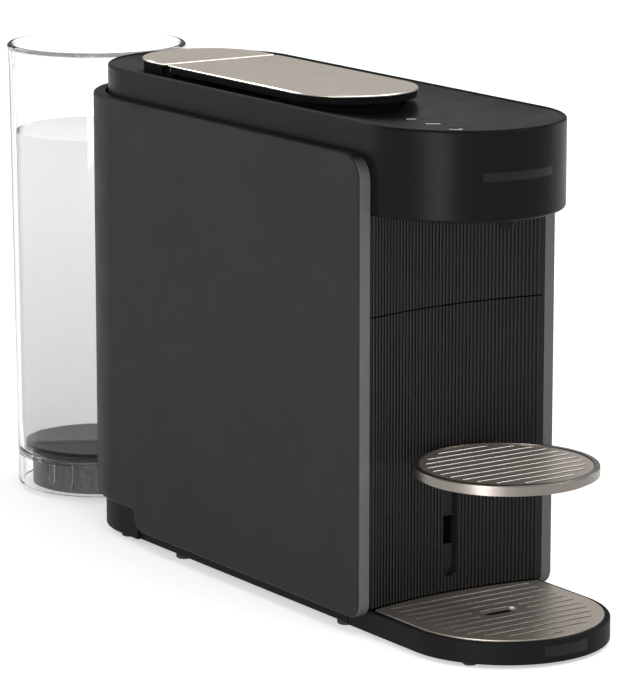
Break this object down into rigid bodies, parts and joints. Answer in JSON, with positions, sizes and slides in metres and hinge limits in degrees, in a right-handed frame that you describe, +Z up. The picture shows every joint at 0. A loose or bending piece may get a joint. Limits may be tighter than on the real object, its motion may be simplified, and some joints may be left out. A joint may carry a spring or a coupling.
{
  "type": "pod coffee machine",
  "caption": "Slim capsule coffee machine with a lift-up brewing lever, touch buttons, ribbed front capsule container, round cup support, drip tray and clear rear water tank.",
  "frame": {"origin": "on the floor, under the middle of the whole machine", "axes": "+Z up, -Y towards the user (cup side), +Y towards the water tank, +X to the user's right when facing the machine"},
  "size_m": [0.13, 0.5326, 0.2823],
  "materials": {
    "shell_plastic": "dark grey, fine texture, satin",
    "head_plastic": "black, satin sheen",
    "rib_plastic": "dark grey, finely ribbed",
    "base_plastic": "black, satin",
    "works_plastic": "moulded, inside",
    "lever_metal": "brushed, warm champagne",
    "support_metal": "warm brushed, bright edge",
    "grid_metal": "warm grey satin",
    "badge_metal": "plain satin, blank",
    "steel": "plain",
    "motor_steel": "zinc plated",
    "cast_aluminium": "as cast",
    "foot_rubber": "matt",
    "belt_rubber": "matt",
    "hose_silicone": "translucent white",
    "circuit_board": "lacquered",
    "tank_clear": "clear, polished"
  },
  "bodies": {
    "body": {"outer_shell": "shell_plastic", "head_housing": "head_plastic", "head_underside": "base_plastic", "upper_front_panel": "rib_plastic", "head_badge_blank": "badge_metal", "base_frame": "base_plastic", "case_screws": "steel", "rubber_feet": "foot_rubber", "chassis_frame": "works_plastic", "brew_housing": "works_plastic", "holder_bearing": "steel", "drive_belt": "belt_rubber", "spin_motor": "motor_steel", "coffee_duct": "works_plastic", "coffee_nozzle": "base_plastic", "thermoblock": "cast_aluminium", "water_pump": "works_plastic", "pump_mounts": "foot_rubber", "flow_meter": "works_plastic", "suction_hose": "hose_silicone", "flow_hose": "hose_silicone", "pressure_hose": "hose_silicone", "hot_water_hose": "hose_silicone", "control_board": "circuit_board", "button_mat": "hose_silicone", "power_board": "circuit_board", "cord_gland": "foot_rubber", "lever_rear_cover": "lever_metal", "rear_cover_frame": "base_plastic", "hinge_brackets": "base_plastic", "hinge_pin": "steel", "tank_dock": "base_plastic", "dock_seal": "foot_rubber"},
    "lever": {"lever_plate": "lever_metal", "lever_frame": "base_plastic", "brew_lid": "base_plastic", "lid_seal": "foot_rubber", "water_needle": "steel"},
    "clamp": {"spin_clamp": "works_plastic"},
    "holder": {"capsule_holder": "works_plastic", "holder_pulley": "works_plastic"},
    "rotor": {"motor_shaft": "steel", "motor_pulley": "works_plastic"},
    "front_button": {"button_front": "head_plastic"},
    "middle_button": {"button_middle": "head_plastic"},
    "rear_button": {"button_rear": "head_plastic"},
    "container": {"container_front": "rib_plastic", "capsule_container": "base_plastic", "front_screws": "steel"},
    "support": {"cup_support_frame": "support_metal", "cup_support_plate": "grid_metal"},
    "tray": {"drip_tray": "base_plastic", "tray_feet": "foot_rubber", "tray_badge_blank": "badge_metal"},
    "grid": {"drip_grid": "grid_metal"},
    "tank": {"tank_body": "tank_clear", "tank_valve": "base_plastic"}
  },
  "joints": [
    {"name": "lever_hinge", "type": "hinge", "parent": "body", "child": "lever", "pos_m": [0, 0.0682, 0.2789], "axis": [-1, 0, 0], "range_deg": [0, 60]},
    {"name": "holder_spin", "type": "hinge", "parent": "body", "child": "holder", "pos_m": [0, -0.0563, 0.21], "axis": [0, 0, 1], "continuous": true},
    {"name": "motor_spin", "type": "hinge", "parent": "body", "child": "rotor", "pos_m": [0, 0.0187, 0.21], "axis": [0, 0, 1], "continuous": true},
    {"name": "clamp_spin", "type": "hinge", "parent": "lever", "child": "clamp", "pos_m": [0, -0.0563, 0.2585], "axis": [0, 0, 1], "continuous": true},
    {"name": "front_button_press", "type": "slide", "parent": "body", "child": "front_button", "axis": [0, 0, -1], "range_m": [0, 0.0008], "stiffness_N_per_m": 600, "springref_m": -0.0004},
    {"name": "middle_button_press", "type": "slide", "parent": "body", "child": "middle_button", "axis": [0, 0, -1], "range_m": [0, 0.0008], "stiffness_N_per_m": 600, "springref_m": -0.0004},
    {"name": "rear_button_press", "type": "slide", "parent": "body", "child": "rear_button", "axis": [0, 0, -1], "range_m": [0, 0.0008], "stiffness_N_per_m": 600, "springref_m": -0.0004},
    {"name": "container_slide", "type": "slide", "parent": "body", "child": "container", "axis": [0, -1, 0], "range_m": [0, 0.15]},
    {"name": "support_unhook", "type": "slide", "parent": "container", "child": "support", "axis": [0, -1, 0], "range_m": [0, 0.06]},
    {"name": "tray_slide", "type": "slide", "parent": "body", "child": "tray", "axis": [0, -1, 0], "range_m": [0, 0.16]},
    {"name": "grid_lift", "type": "slide", "parent": "tray", "child": "grid", "axis": [0, 0, 1], "range_m": [0, 0.03]},
    {"name": "tank_lift", "type": "slide", "parent": "body", "child": "tank", "axis": [0, 0, 1], "range_m": [0, 0.06]}
  ],
  "couplings": [
    {"joint": "motor_spin", "follows": "holder_spin", "ratio": 2.5},
    {"joint": "clamp_spin", "follows": "holder_spin", "ratio": 1}
  ]
}
